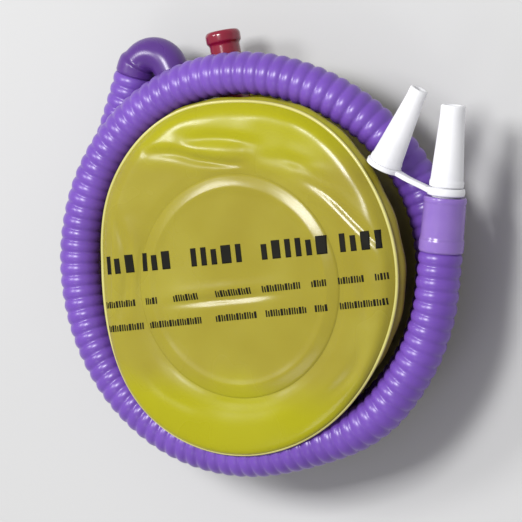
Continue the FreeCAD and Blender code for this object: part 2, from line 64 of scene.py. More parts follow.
# Bag
PORT_HEIGHT = 17.3
OUTLET_HEADING = 119.0
INLET_HEADING = 102.0
TREAD_CENTRE = (2.2, -4.2)
TREAD_RIM = 31.9
TREAD_EDGE = 32.45
TREAD_SIDE = 33.0
TREAD_SHIFT_END = 46.5
WAIST_SIDE = 46.0
WAIST_BOTTOM = 11.0
BLEND_HEIGHT = 10.0

# Where the bag sags over the hose: its heading, and how fast the sag fades to either side
LIP_HEADING = 268.0
LIP_FADE = 1.6

# Radius of the bag's widest line at every 30 degrees, anticlockwise from +X
WIDEST = [52.2, 51.4, 51.5, 49.5, 49.8, 48.0, 45.1, 45.6, 49.7, 52.2, 52.4, 52.4]

# Welded seam round the top sheet: where it is among the profile's points, and its size
PROFILE_STEPS = 12
SEAM_PLACE = 6.45
SEAM_PLACE_ON_LIP = 7.15
SEAM_RADIUS = 0.5
SEAM_ROWS = 12

# Heights between which the side wall turns into the top film, and between which painted shade darkens
# the waist, where the hose and the bag's bulge shade it
TOP_START = 35.0
TOP_FULL = 38.0
WAIST_SHADE_FULL = 28.5
WAIST_SHADE_START = 32.5

# Wave of the soft wall: shallow pleats above the waist, and ripples in the lower half
PLEATS = 23
PLEAT_DEPTH = 0.004
PLEAT_TURN = 0.25
RIPPLES = 31
RIPPLE_DEPTH = 0.22

# Return spring
SPRING_RADIUS = 22.0
SPRING_WIRE = 1.6
SPRING_TURNS = 5
SPRING_STEPS = 64
SPRING_AROUND = 14
SPRING_FOOT = 2.8
SPRING_TOP = 36.6

# Hose, along the part's own route, but up to 2 mm wider where the last turn leaves the coil
HOSE_DIAMETER = 12.4
COIL_RADIUS = 54.5
COIL_CENTRE = 1.5
COIL_POINTS = 16
COIL_FIRST_ANGLE = 180.0
COIL_LAST_ANGLE = 652.5
LOWER_STRAND = 17.3
UPPER_STRAND = 30.0
CLIMB_START = 375.0
CLIMB_END = 450.0
HOSE_LEAD_IN = [(-51.8, 30.5), (-54.6, 16.2)]
HOSE_LEAD_OUT = [(41.0, -42.2), (53.8, -26.0), (59.6, -11.0)]
HOSE_END = (61.4, 7.2)
LEAD_IN = 10.0
LEAD_OUT = 7.0
NOZZLE_HEADING = 85.0
RIB_PITCH = 3.45
RIB_DEPTH = 0.56
BULGE_ANGLE = 600.0
BULGE_WIDTH = 42.0
BULGE = 1.9
HOSE_AROUND = 40

# Elbow, from the outlet to the hose
ELBOW_START = 50.0
ELBOW_STRAIGHT = 14.0
ELBOW_STRAIGHT_POINTS = 29
ELBOW_BEND_START = 65.6
ELBOW_BEND_STEPS = 40
ELBOW_BEND = 6.0
ELBOW_TURN = 133.0
ELBOW_TAIL = 2.0
ELBOW_RADIUS = 5.25
ELBOW_LIP = 0.30
ELBOW_COLLAR = 0.75
ELBOW_ROUNDING = 0.5
ELBOW_POINTS = 90
ELBOW_AROUND = 64

# Cuff, nozzle and adapter
CUFF_LENGTH = 15.5
SHANK_LENGTH = 10.5
SHOULDER_GAP = 0.1
NOZZLE_LENGTH = 25.5
NECK_START = 10.8
RING_WIDTH = 2.2
BAND_THICKNESS = 1.5
BAND_WIDTH = 4.0
BAND_LENGTH = 11.0
BAND_START = 4.0
BAND_DIP = 1.9
BAND_NARROWING = 0.22
BAND_OVERLAP = 0.3
BAND_POINTS = 25
BAND_AROUND = 32
BAND_SQUARENESS = 0.5
ADAPTER_PLACE = (45.4, 31.7, 32.4)
ADAPTER_HEADING = 63.5


def direction(heading):
    """The level unit vector at this heading, in degrees anticlockwise from +X."""
    turn = math.radians(heading)
    return Vector((math.cos(turn), math.sin(turn), 0.0))


# ---------------------------------------------------------------- meshes

def new_object(name, points, faces, material, sharp_angle=None):
    """A mesh object from points in millimetres, shaded smooth but for edges past the sharp angle."""
    mesh = bpy.data.meshes.new(name)
    mesh.from_pydata([tuple(p) for p in np.asarray(points, float) * MM], [], faces)
    mesh.validate()
    mesh.shade_smooth()
    if sharp_angle is not None:
        mesh.set_sharp_from_angle(angle=math.radians(sharp_angle))
    mesh.materials.append(material)
    piece = bpy.data.objects.new(name, mesh)
    bpy.context.scene.collection.objects.link(piece)
    return piece


def round_angles(count):
    """This many angles in radians, evenly spaced all the way round."""
    return np.linspace(0, 2 * math.pi, count, endpoint=False)


def grid_faces(rows, columns, close_rows=False):
    """Quads of a grid whose columns run right round, numbered row by row."""
    faces = []
    last = rows if close_rows else rows - 1
    for row in range(last):
        below = row * columns
        above = ((row + 1) % rows) * columns
        for column in range(columns):
            after = (column + 1) % columns
            faces.append((below + column, below + after, above + after, above + column))
    return faces


def soften(corners):
    """An outline's corners (across, along, cut), each rounded off by its own cut."""
    points = []
    count = len(corners)
    for index, (across, along, cut) in enumerate(corners):
        corner = Vector((across, along))
        if cut == 0.0:
            points.append(corner)
            continue
        before = Vector(corners[index - 1][:2])
        after = Vector(corners[(index + 1) % count][:2])
        start = corner + (before - corner).normalized() * cut
        end = corner + (after - corner).normalized() * cut
        for step in range(CORNER_STEPS + 1):
            share = step / CORNER_STEPS
            points.append(start.lerp(corner, share).lerp(corner.lerp(end, share), share))
    return points


def lathe(name, corners, origin, axis, material):
    """A ring-shaped piece: its closed outline turned about an axis from the origin given."""
    outline = soften(corners)
    turn = Vector((0, 0, 1)).rotation_difference(Vector(axis)).to_matrix()
    points = []
    for across, along in outline:
        for column in range(LATHE_AROUND):
            angle = 2 * math.pi * column / LATHE_AROUND
            local = Vector((across * math.cos(angle), across * math.sin(angle), along))
            points.append(Vector(origin) + turn @ local)
    faces = grid_faces(len(outline), LATHE_AROUND, close_rows=True)
    piece = new_object(name, points, faces, material, LATHE_SHARP_ANGLE)
    piece.modifiers.new("even_normals", "WEIGHTED_NORMAL").keep_sharp = True
    return piece


def curve_between(a, b, c, d, share):
    """The place this share of the way from b to c, on the Catmull-Rom curve through all four."""
    return 0.5 * (2 * b + (c - a) * share + (2 * a - 5 * b + 4 * c - d) * share ** 2
                  + (3 * b - a - 3 * c + d) * share ** 3)


def smooth_line(points, steps):
    """Catmull-Rom line through points; the points' second-last axis runs along the line."""
    points = np.asarray(points, float)
    first = 2 * points[..., :1, :] - points[..., 1:2, :]
    last = 2 * points[..., -1:, :] - points[..., -2:-1, :]
    padded = np.concatenate([first, points, last], axis=-2)
    share = (np.arange(steps) / steps)[:, None]
    spans = []
    for index in range(points.shape[-2] - 1):
        a, b, c, d = (padded[..., index + k, :][..., None, :] for k in range(4))
        spans.append(curve_between(a, b, c, d, share))
    spans.append(points[..., -1:, :])
    return np.concatenate(spans, axis=-2)


def smooth_step(value, low, high):
    """0 below low, 1 above high, and a smooth change between them."""
    share = np.clip((np.asarray(value, float) - low) / (high - low), 0.0, 1.0)
    return share * share * (3 - 2 * share)


def tube_frames(line):
    """Two crosswise directions at each point of a line, carried along it without twist."""
    tangents = np.gradient(line, axis=0)
    tangents /= np.linalg.norm(tangents, axis=1)[:, None]
    across = np.cross(tangents[0], (0.0, 0.0, 1.0))
    across /= np.linalg.norm(across)
    sides = []
    for tangent in tangents:
        across = across - tangent * (across @ tangent)
        across /= np.linalg.norm(across)
        sides.append(across.copy())
    sides = np.array(sides)
    return sides, np.cross(tangents, sides)


def tube(name, line, radii, around, material):
    """A round closed tube along a line in millimetres, with its own radius at each point."""
    line = np.asarray(line, float)
    sides, ups = tube_frames(line)
    angles = round_angles(around)[None, :, None]
    ring = np.cos(angles) * sides[:, None, :] + np.sin(angles) * ups[:, None, :]
    points = line[:, None, :] + ring * np.asarray(radii)[:, None, None]
    faces = grid_faces(len(line), around)
    faces.append(tuple(reversed(range(around))))
    faces.append(tuple(range((len(line) - 1) * around, len(line) * around)))
    return new_object(name, points.reshape(-1, 3), faces, material)


# ---------------------------------------------------------------- materials

# Noise textures: scales per metre, and the range that most of a noise lies in
DRIFT_SCALE = 60.0
CLOUD_SCALE = 40.0
GRAIN_SCALE = 400.0
FILM_SCALE = 130.0
STREAK_SCALE = 900.0
NOISE_LOW = 0.3
NOISE_HIGH = 0.7

# Uneven gloss and fine relief of moulded plastic: shares of its roughness, strength and metres
PLASTIC_GLOSS = (0.8, 1.25)
GRAIN_STRENGTH = 0.25
GRAIN_HEIGHT = 0.00004

# Roughness of the film, what the waist adds to it, and the film's relief: strength and metres
FILM_ROUGHNESS = (0.20, 0.32)
WAIST_ROUGHNESS = 0.4
FILM_STRENGTH = 0.12
FILM_HEIGHT = 0.0003

# Yellow of the film where the bag is full, over its middle in two tones, and a dark yellow of painted
# shade down in the waist
FULL_YELLOW = (0.35, 0.328, 0.003)
MIDDLE_YELLOW = (0.285, 0.236, 0.022)
PALE_MIDDLE_YELLOW = (0.33, 0.286, 0.028)
WAIST_SHADE_YELLOW = (0.13, 0.105, 0.013)

# Metres from the pump's X axis where the middle's yellow ends and the full yellow starts
MIDDLE_END = 0.033
FULL_START = 0.047
EDGE_DRIFT = 0.014

# Name of the film's own measure of how far down its waist a point is, which sets how much painted shade
# darkens it there
WAIST_SHADE_SHARE = "waist_shade_share"


def new_material(name):
    """An empty node material with its Principled shader."""
    material = bpy.data.materials.new(name)
    material.use_nodes = True
    return material, material.node_tree.nodes, material.node_tree.links


def set_inputs(shader, values):
    """Sets the shader's own sockets, by name."""
    for name, value in values.items():
        shader.inputs[name].default_value = value


def noise_node(nodes, links, scale, detail=3.0):
    """Noise in the object's own coordinates."""
    place = nodes.new("ShaderNodeTexCoord")
    texture = nodes.new("ShaderNodeTexNoise")
    texture.inputs["Scale"].default_value = scale
    texture.inputs["Detail"].default_value = detail
    links.new(place.outputs["Object"], texture.inputs["Vector"])
    return texture


def ramp_between(nodes, links, noise, dark, light):
    """A colour that goes from dark to light as the noise does."""
    ramp = nodes.new("ShaderNodeValToRGB")
    ends = ramp.color_ramp.elements
    for end, place, colour in zip(ends, (NOISE_LOW, NOISE_HIGH), (dark, light)):
        end.position = place
        end.color = (*colour, 1)
    links.new(noise.outputs["Fac"], ramp.inputs["Fac"])
    return ramp.outputs["Color"]


def add_bump(nodes, links, shader, noise, strength, distance):
    """Fine relief from a noise, on the shader's normal."""
    bump = nodes.new("ShaderNodeBump")
    bump.inputs["Strength"].default_value = strength
    bump.inputs["Distance"].default_value = distance
    links.new(noise.outputs["Fac"], bump.inputs["Height"])
    links.new(bump.outputs["Normal"], shader.inputs["Normal"])


def plastic(name, dark, light, roughness, specular=0.5, coat=0.0, under=0.0, tint=(1.0, 1.0, 1.0)):
    """Moulded plastic: colour drift, uneven gloss and a fine surface relief."""
    material, nodes, links = new_material(name)
    shader = nodes["Principled BSDF"]
    drift = noise_node(nodes, links, DRIFT_SCALE)
    links.new(ramp_between(nodes, links, drift, dark, light), shader.inputs["Base Color"])
    gloss = nodes.new("ShaderNodeMapRange")
    for end, share in zip(("To Min", "To Max"), PLASTIC_GLOSS):
        gloss.inputs[end].default_value = roughness * share
    links.new(drift.outputs["Fac"], gloss.inputs["Value"])
    links.new(gloss.outputs["Result"], shader.inputs["Roughness"])
    grain = noise_node(nodes, links, GRAIN_SCALE, 2.0)
    add_bump(nodes, links, shader, grain, GRAIN_STRENGTH, GRAIN_HEIGHT)
    set_inputs(shader, {
        "Specular IOR Level": specular, "Coat Weight": coat, "Coat Roughness": 0.08,
        "Subsurface Weight": under, "Subsurface Radius": tint, "Subsurface Scale": 0.004})
    return material


def map_range(nodes, links, value, low, high, new_low, new_high):
    """The value, moved smoothly from one range to another."""
    mapped = nodes.new("ShaderNodeMapRange")
    mapped.interpolation_type = "SMOOTHSTEP"
    mapped.inputs["From Min"].default_value = low
    mapped.inputs["From Max"].default_value = high
    mapped.inputs["To Min"].default_value = new_low
    mapped.inputs["To Max"].default_value = new_high
    links.new(value, mapped.inputs["Value"])
    return mapped.outputs["Result"]


def math_node(nodes, links, operation, first, second=None, third=None):
    """One step of arithmetic on a socket, with numbers or sockets for the rest."""
    node = nodes.new("ShaderNodeMath")
    node.operation = operation
    for index, value in enumerate((first, second, third)):
        if isinstance(value, (int, float)):
            node.inputs[index].default_value = value
        elif value is not None:
            links.new(value, node.inputs[index])
    return node.outputs[0]


def mixed(nodes, links, share, first, second):
    """A colour between two colours, each a socket or three numbers."""
    mix = nodes.new("ShaderNodeMix")
    mix.data_type = "RGBA"
    links.new(share, mix.inputs["Factor"])
    for name, value in (("A", first), ("B", second)):
        socket = next(item for item in mix.inputs if item.name == name and item.type == "RGBA")
        if isinstance(value, tuple):
            socket.default_value = (*value, 1)
        else:
            links.new(value, socket)
    return next(item for item in mix.outputs if item.type == "RGBA")


def vinyl(name):
    """Glossy yellow vinyl: bright where the bag is full, duller over the middle, and darkened with
    painted shade down in the waist.
    """
    material, nodes, links = new_material(name)
    shader = nodes["Principled BSDF"]
    place = nodes.new("ShaderNodeTexCoord")
    split = nodes.new("ShaderNodeSeparateXYZ")
    links.new(place.outputs["Object"], split.inputs["Vector"])
    cloud = noise_node(nodes, links, CLOUD_SCALE, 2.0)
    across = math_node(nodes, links, "ABSOLUTE", split.outputs["Y"])
    shifted = math_node(nodes, links, "MULTIPLY_ADD", cloud.outputs["Fac"], EDGE_DRIFT, across)
    bright = map_range(nodes, links, shifted, MIDDLE_END, FULL_START, 0.0, 1.0)
    middle = ramp_between(nodes, links, cloud, MIDDLE_YELLOW, PALE_MIDDLE_YELLOW)
    full = mixed(nodes, links, bright, middle, FULL_YELLOW)
    # Painted shade: the film's waist measure darkens its colour towards the dark waist yellow, and
    # roughens it
    waist = nodes.new("ShaderNodeAttribute")
    waist.attribute_name = WAIST_SHADE_SHARE
    colour = mixed(nodes, links, waist.outputs["Fac"], full, WAIST_SHADE_YELLOW)
    links.new(colour, shader.inputs["Base Color"])
    gloss = map_range(nodes, links, cloud.outputs["Fac"], NOISE_LOW, NOISE_HIGH, *FILM_ROUGHNESS)
    roughness = math_node(nodes, links, "MULTIPLY_ADD", waist.outputs["Fac"], WAIST_ROUGHNESS, gloss)
    links.new(roughness, shader.inputs["Roughness"])
    film = noise_node(nodes, links, FILM_SCALE)
    add_bump(nodes, links, shader, film, FILM_STRENGTH, FILM_HEIGHT)
    set_inputs(shader, {
        "Specular IOR Level": 0.3, "Coat Weight": 0.12, "Coat Roughness": 0.12,
        "Subsurface Weight": 0.2, "Subsurface Radius": (1.0, 0.9, 0.1), "Subsurface Scale": 0.003})
    return material


def metal(name, dark, light, roughness):
    """Drawn wire: bare metal with streaks of uneven gloss."""
    material, nodes, links = new_material(name)
    shader = nodes["Principled BSDF"]
    streak = noise_node(nodes, links, STREAK_SCALE, 4.0)
    links.new(ramp_between(nodes, links, streak, dark, light), shader.inputs["Base Color"])
    set_inputs(shader, {"Metallic": 1.0, "Roughness": roughness})
    add_bump(nodes, links, shader, streak, 0.2, 0.00003)
    return material


YELLOW = vinyl("yellow_vinyl_film")
WELD = plastic("pale_weld", (0.50, 0.46, 0.13), (0.60, 0.56, 0.19), 0.28, coat=0.2)
INK = plastic("black_print", (0.005, 0.005, 0.004), (0.012, 0.011, 0.007), 0.6, specular=0.1)
PURPLE = plastic("purple_hose", (0.138, 0.058, 0.355), (0.170, 0.073, 0.430), 0.30, under=0.12,
                 tint=(0.6, 0.3, 1.0))
ELBOW_PURPLE = plastic("purple_elbow", (0.082, 0.028, 0.20), (0.104, 0.036, 0.25), 0.28, under=0.15,
                       tint=(0.7, 0.3, 1.0))
CUFF_PURPLE = plastic("pale_purple_cuff", (0.225, 0.13, 0.45), (0.285, 0.172, 0.52), 0.22, under=0.3,
                      tint=(0.7, 0.5, 1.0))
WHITE = plastic("white_plastic", (0.80, 0.80, 0.84), (0.88, 0.88, 0.90), 0.32, under=0.1)
RED = plastic("red_plastic", (0.17, 0.004, 0.020), (0.24, 0.006, 0.028), 0.18, coat=0.4)
DISC = plastic("inner_disc_plastic", (0.55, 0.53, 0.42), (0.66, 0.64, 0.52), 0.45)
VALVE = plastic("valve_plastic", (0.52, 0.52, 0.50), (0.62, 0.62, 0.59), 0.4)
RUBBER = plastic("valve_rubber", (0.015, 0.015, 0.016), (0.03, 0.03, 0.03), 0.6)
STEEL = metal("spring_wire", (0.42, 0.42, 0.44), (0.60, 0.60, 0.62), 0.32)


# ---------------------------------------------------------------- bag

def lip_share(angles):
    """How far the bag sags over the hose: 1 at the -Y side, 0 at the sides."""
    return np.clip(np.cos(angles - math.radians(LIP_HEADING)), 0.0, 1.0) ** LIP_FADE


def widest_radius(angles):
    """Radius of the bag's widest line at each angle, smooth all the way round."""
    count = len(WIDEST)
    place = np.asarray(angles) / (2 * math.pi) * count
    index = np.floor(place).astype(int)
    share = place - index
    a, b, c, d = (np.array(WIDEST)[(index + k) % count] for k in (-1, 0, 1, 2))
    return curve_between(a, b, c, d, share)


def side_profile(angles):
    """The bag's outline from its waist up to the tread's rim, at each angle round it.

    Each point is a radius and a height. The plain outline turns into the sagging one at the lip.
    """
    widest = widest_radius(angles)
    full = np.ones_like(angles)
    plain = [
        (46.2 * full, WAIST_BOTTOM * full),
        (46.2 * full, 15.5 * full),
        (46.0 * full, 21.0 * full),
        (46.0 * full, 25.5 * full),
        (0.45 * widest + 25.2, 29.0 * full),
        (widest, 32.4 * full),
        (widest - 0.6, 35.0 * full),
        (widest - 2.5, 37.0 * full),
        (widest - 4.9, 38.4 * full),
        (0.5 * widest + 17.0, 38.75 * full),
        (35.8 * full, 38.8 * full),
        (33.6 * full, 38.6 * full),
        (TREAD_RIM * full, 38.42 * full),
    ]
    sagging = [
        (46.2, WAIST_BOTTOM),
        (46.2, 15.5),
        (45.8, 21.0),
        (45.4, 25.5),
        (45.2, 29.6),
        (46.0, 33.0),
        (48.2, 35.9),
        (52.6, 36.7),
        (51.4, 38.6),
        (44.6, 39.3),
        (37.6, 38.95),
        (33.6, 38.6),
        (TREAD_RIM, 38.42),
    ]
    share = lip_share(angles)[:, None, None]
    plain = np.stack([np.stack(pair, axis=-1) for pair in plain], axis=1)
    return smooth_line(plain * (1 - share) + np.array(sagging)[None] * share, PROFILE_STEPS)


def tread_share(x, y):
    """How far a point of the film is from the waist, 0, to the tread, 1."""
    outside = np.clip(np.hypot(x - TREAD_CENTRE[0], y - TREAD_CENTRE[1]) - TREAD_SIDE, 0.0, None)
    inside = np.clip(WAIST_SIDE - np.hypot(x, y), 0.0, None)
    return inside / np.maximum(inside + outside, 0.001)


def blend_film(piece, points):
    """Sets a film piece's points for a moment to heights given by their share of the tread's motion, 0
    at the waist and 1 at the rim, bakes the piece's placement into its mesh, then puts its own points
    back.
    """
    points = np.asarray(points, float)
    shares = points.copy()
    shares[:, 2] = tread_share(points[:, 0], points[:, 1]) * BLEND_HEIGHT
    piece.data.vertices.foreach_set("co", (shares * MM).astype(np.float32).ravel())
    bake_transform(piece)
    piece.data.vertices.foreach_set("co", (points * MM).astype(np.float32).ravel())
    piece.data.update()


# Folds pressed into the top film: points in x and y, depth, and half width
CREASES = [
    ([(-28.0, 32.8), (-19.0, 33.0), (-10.5, 31.4), (-2.0, 30.6), (5.0, 30.8)], 0.65, 1.3),
    ([(9.0, 36.2), (1.0, 37.4), (-7.0, 37.7), (-16.0, 36.6)], 0.5, 1.5),
    ([(29.0, 31.4), (19.0, 32.0), (8.0, 33.2)], 0.25, 1.4),
    ([(49.0, 7.0), (40.0, 14.8), (31.0, 22.6), (22.0, 27.5)], 0.45, 1.1),
    ([(16.0, 33.5), (24.0, 29.5), (32.0, 25.5)], 0.3, 1.2),
    ([(-38.0, 14.0), (-35.0, 5.0), (-34.6, -6.0), (-37.0, -16.0)], 0.5, 1.5),
    ([(-31.0, -28.0), (-22.0, -36.0), (-10.0, -41.0)], 0.3, 1.8),
    ([(42.0, -18.0), (38.0, -27.0), (30.0, -35.0)], 0.35, 1.6),
    ([(38.5, 4.0), (41.5, -4.0), (42.5, -12.0)], 0.3, 1.4),
    ([(-21.0, -10.6), (-8.0, -8.8), (4.0, -7.2), (17.0, -5.4)], 0.5, 1.3),
]
CREASE_STEPS = 12

# How deep the folds are over the stiff disc, as a share of their depth beside it
DISC_CREASES = 0.8

# The raised crest beside a fold's valley: its height as a share of the depth, its distance and
# width in half widths, and how much higher it is on one side
CREST_HEIGHT = 0.75
CREST_DISTANCE = 2.1
CREST_WIDTH = 1.6
CREST_LEAN = 0.28

# Slack of the whole film: broad and fine waves
BROAD_WAVE = 0.10
FINE_WAVE = 0.03


def crease_height(x, y):
    """How far the film is pressed down or raised at each point by its folds and slack."""
    height = np.zeros_like(x)
    for points, depth, width in CREASES:
        line = smooth_line(np.array(points), CREASE_STEPS)
        offset = np.hypot(x[:, None] - line[None, :, 0], y[:, None] - line[None, :, 1])
        nearest = offset.argmin(axis=1)
        heading = np.gradient(line, axis=0)[nearest]
        step = np.hypot(heading[:, 0], heading[:, 1])
        east, north = x - line[nearest, 0], y - line[nearest, 1]
        side = (heading[:, 0] * north - heading[:, 1] * east) / step
        past = (heading[:, 0] * east + heading[:, 1] * north) / step ** 2
        along = (nearest + past) / (len(line) - 1)
        at_end = (nearest == 0) | (nearest == len(line) - 1)
        apart = np.where(at_end, offset.min(axis=1), abs(side))
        fade = np.sin(np.pi * np.clip(along, 0.02, 0.98)) ** 0.6
        valley = np.exp(-(apart / width) ** 2)
        lean = 1 - CREST_LEAN + CREST_LEAN * np.tanh(side / width)
        from_crest = (apart - CREST_DISTANCE * width) / (CREST_WIDTH * width)
        crest = np.exp(-from_crest ** 2) * lean
        height += fade * depth * (CREST_HEIGHT * crest - valley)
    height += BROAD_WAVE * np.sin(0.19 * x + 1.3) * np.sin(0.23 * y + 0.4)
    height += FINE_WAVE * np.sin(0.47 * x - 0.33 * y)
    return height


def side_skin():
    """The soft side of the bag: follows the base outside and the tread inside."""
    angles = round_angles(AROUND)
    profile = side_profile(angles)
    radii = profile[:, :, 0].T
    heights = profile[:, :, 1].T
    to_tread = 1 - smooth_step(radii, TREAD_RIM, TREAD_SHIFT_END)
    x = (radii * np.cos(angles)[None] + TREAD_CENTRE[0] * to_tread).ravel()
    y = (radii * np.sin(angles)[None] + TREAD_CENTRE[1] * to_tread).ravel()
    z = heights.ravel()
    on_top = smooth_step(z, TOP_START, TOP_FULL)
    from_rim = np.hypot(x - TREAD_CENTRE[0], y - TREAD_CENTRE[1])
    z = z + crease_height(x, y) * on_top * smooth_step(from_rim, TREAD_RIM, TREAD_RIM + 2.0)
    slack = (1 - on_top) * smooth_step(z, WAIST_BOTTOM, WAIST_BOTTOM + 3.0)
    wave = np.sin(PLEATS * np.arctan2(y, x)) * np.sin((z - WAIST_BOTTOM) * PLEAT_TURN)
    pleat = 1 - slack * PLEAT_DEPTH * (1 + wave)
    points = np.stack([x * pleat, y * pleat, z], axis=1)
    skin = new_object("bag_side_skin", points, grid_faces(len(radii), AROUND), YELLOW)
    # How far into the waist's painted shade each point is, kept on the mesh for the film's material
    shade_in_waist = smooth_step(heights.ravel(), WAIST_SHADE_START, WAIST_SHADE_FULL)
    measure = skin.data.attributes.new(WAIST_SHADE_SHARE, "FLOAT", "POINT")
    measure.data.foreach_set("value", shade_in_waist.astype(np.float32))
    blend_film(skin, points)
    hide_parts("bellows_wall", "lower_weld_bead")
    return skin


def weld_seam():
    """The pale welded seam round the top sheet: a thin bead half sunk in the film."""
    angles = round_angles(AROUND)
    profile = side_profile(angles)
    place = (SEAM_PLACE + (SEAM_PLACE_ON_LIP - SEAM_PLACE) * lip_share(angles)) * PROFILE_STEPS
    below = place.astype(int)
    share = (place - below)[:, None]
    column = np.arange(AROUND)
    centre = profile[column, below] * (1 - share) + profile[column, below + 1] * share
    points = []
    for turn in round_angles(SEAM_ROWS):
        radii = centre[:, 0] + SEAM_RADIUS * math.cos(turn)
        heights = centre[:, 1] + SEAM_RADIUS * math.sin(turn)
        points.append(np.stack([radii * np.cos(angles), radii * np.sin(angles), heights], axis=1))
    points = np.concatenate(points)
    seam = new_object("bag_weld_seam", points, grid_faces(SEAM_ROWS, AROUND, close_rows=True), WELD)
    blend_film(seam, points)


def tread_height(radii):
    """Height of the tread's film, of the raised rim round it and of the slope outside the rim."""
    line = smooth_line(np.array([
        (0.0, 39.35), (12.0, 39.35), (22.0, 39.3), (26.0, 39.3), (27.6, 39.48), (28.4, 39.55),
        (29.6, 39.33), (30.8, 39.01), (31.8, 38.66), (TREAD_EDGE, 38.1)]), 10)
    return np.interp(radii, line[:, 0], line[:, 1])


def tread_skin():
    """The film over the stiff disc, and its raised rim."""
    radii = np.concatenate([np.linspace(TREAD_EDGE, 27.9, 26), np.linspace(27.5, 0.4, 56)])
    angles = round_angles(AROUND)
    x = (radii[:, None] * np.cos(angles)[None]).ravel() + TREAD_CENTRE[0]
    y = (radii[:, None] * np.sin(angles)[None]).ravel() + TREAD_CENTRE[1]
    from_centre = np.repeat(radii, AROUND)
    z = tread_height(from_centre)
    z = z + (1 - smooth_step(from_centre, 26.0, 30.0)) * crease_height(x, y) * DISC_CREASES
    last_ring = (len(radii) - 1) * AROUND
    faces = grid_faces(len(radii), AROUND) + [tuple(range(last_ring, last_ring + AROUND))]
    skin = new_object("tread_skin", np.stack([x, y, z], axis=1), faces, YELLOW)
    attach(skin, "tread")
    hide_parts("tread_film", "tread_rim_bead")
    return skin


def base_skin():
    """Lower half of the bag: flat base with a ring, rounded bulge, and the welded seam at the waist."""
    outline = smooth_line(np.array([
        (0.3, 0.5), (22.0, 0.5), (27.5, 0.45), (29.0, 0.1), (30.8, 0.1), (32.4, 0.7), (38.0, 0.6),
        (44.0, 0.0), (48.5, 0.15), (51.2, 1.9), (52.0, 5.0),
        (51.6, 7.6), (49.9, 9.2), (48.0, 9.9), (47.5, 10.3), (47.75, 10.9), (47.3, 11.5), (46.4, 11.7),
        (45.9, 12.2)]), 8)
    angles = round_angles(AROUND)
    radii = outline[:, 0][:, None]
    heights = np.maximum(outline[:, 1], 0.0)[:, None] + 0 * angles[None]
    on_bulge = smooth_step(radii, 49.0, 52.0) * smooth_step(heights, 1.0, 4.0)
    wave = np.sin(RIPPLES * angles + 1.5 * np.sin(3 * angles))
    radii = radii - on_bulge * RIPPLE_DEPTH * (1 + wave)[None]
    x = (radii * np.cos(angles)[None]).ravel()
    y = (radii * np.sin(angles)[None]).ravel()
    points = np.stack([x, y, heights.ravel()], axis=1)
    faces = [tuple(reversed(range(AROUND)))] + grid_faces(len(outline), AROUND)
    skin = new_object("bag_base_skin", points, faces, YELLOW)
    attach(skin, "base")
    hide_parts("base_cup")


# Printed rows, left to right: where the row starts, its slope in degrees, the height and width of
# its strokes, and the lengths of its words and of the spaces between them
HEADING = {"start": (-41.1, -2.9), "slope": 7.3, "height": 5.2, "stroke": 1.75,
           "words": [8.1, 10.7, 16.2, 19.0, 16.0], "spaces": [4.6, 5.6, 6.7, 5.6]}
SECOND_ROW = {"start": (-41.7, -12.9), "slope": 8.0, "height": 1.9, "stroke": 0.4,
              "words": [10.4, 3.5, 8.1, 11.6, 12.2, 4.6, 8.1, 8.0],
              "spaces": [4.0, 5.8, 5.8, 3.5, 3.5, 3.5, 3.5]}
THIRD_ROW = {"start": (-40.5, -19.7), "slope": 7.9, "height": 1.9, "stroke": 0.4,
             "words": [12.2, 17.4, 12.7, 12.7, 4.0, 16.0], "spaces": [2.3, 4.6, 3.5, 2.9, 3.5]}

# The strokes' widths and heights, as shares of the row's own, over and over, and the gap between
# two strokes as a share of the row's stroke
STROKE_PATTERN = [(1.0, 1.0), (1.0, 0.85), (1.8, 1.0), (1.0, 1.0), (1.0, 0.85), (1.5, 1.0), (1.0, 1.0)]
STROKE_GAP = 0.9

# Print: the height where it stops, the size of a stroke's mesh steps, a height that is above all
# the film, and how far the ink reaches above and below the film
PRINT_LOWEST = 36.9
PRINT_STEP = 0.45
PRINT_ABOVE = 60.0
INK_HEIGHT = 0.09
INK_DEPTH = 0.06


def row_marks(row):
    """The marks of one printed row, as (along, width, height): plain upright strokes."""
    marks = []
    word_start = 0.0
    for word, space in zip(row["words"], row["spaces"] + [0.0]):
        along = word_start
        while along < word_start + word:
            wide, tall = STROKE_PATTERN[len(marks) % len(STROKE_PATTERN)]
            marks.append((along, wide * row["stroke"], tall * row["height"]))
            along += (wide + STROKE_GAP) * row["stroke"]
        word_start += word + space
    return marks


def print_patch(surface, corner, width, height, slope):
    """One stroke of ink on the film: a closed patch that follows it, or None past its edge."""
    columns = max(2, math.ceil(width / PRINT_STEP))
    rows = math.ceil(height / PRINT_STEP)
    right = Vector((math.cos(slope), math.sin(slope)))
    upward = Vector((-math.sin(slope), math.cos(slope)))
    top, bottom = [], []
    for row in range(rows + 1):
        for column in range(columns + 1):
            place = Vector(corner) + right * (width * column / columns) + upward * (height * row / rows)
            hit = surface.ray_cast(Vector((place.x, place.y, PRINT_ABOVE)), Vector((0, 0, -1)))[0]
            if hit is None or hit.z < PRINT_LOWEST:
                return None
            top.append((place.x, place.y, hit.z + INK_HEIGHT))
            bottom.append((place.x, place.y, hit.z - INK_DEPTH))
    wide = columns + 1
    count = len(top)
    faces = []
    for row in range(rows):
        for column in range(columns):
            first = row * wide + column
            quad = (first, first + 1, first + 1 + wide, first + wide)
            faces.append(quad)
            faces.append(tuple(index + count for index in reversed(quad)))
    edge = list(range(wide))
    edge += [row * wide + columns for row in range(1, rows + 1)]
    edge += [rows * wide + column for column in reversed(range(columns))]
    edge += [row * wide for row in reversed(range(1, rows))]
    for here, after in zip(edge, edge[1:] + edge[:1]):
        faces.append((after, here, here + count, after + count))
    return top + bottom, faces


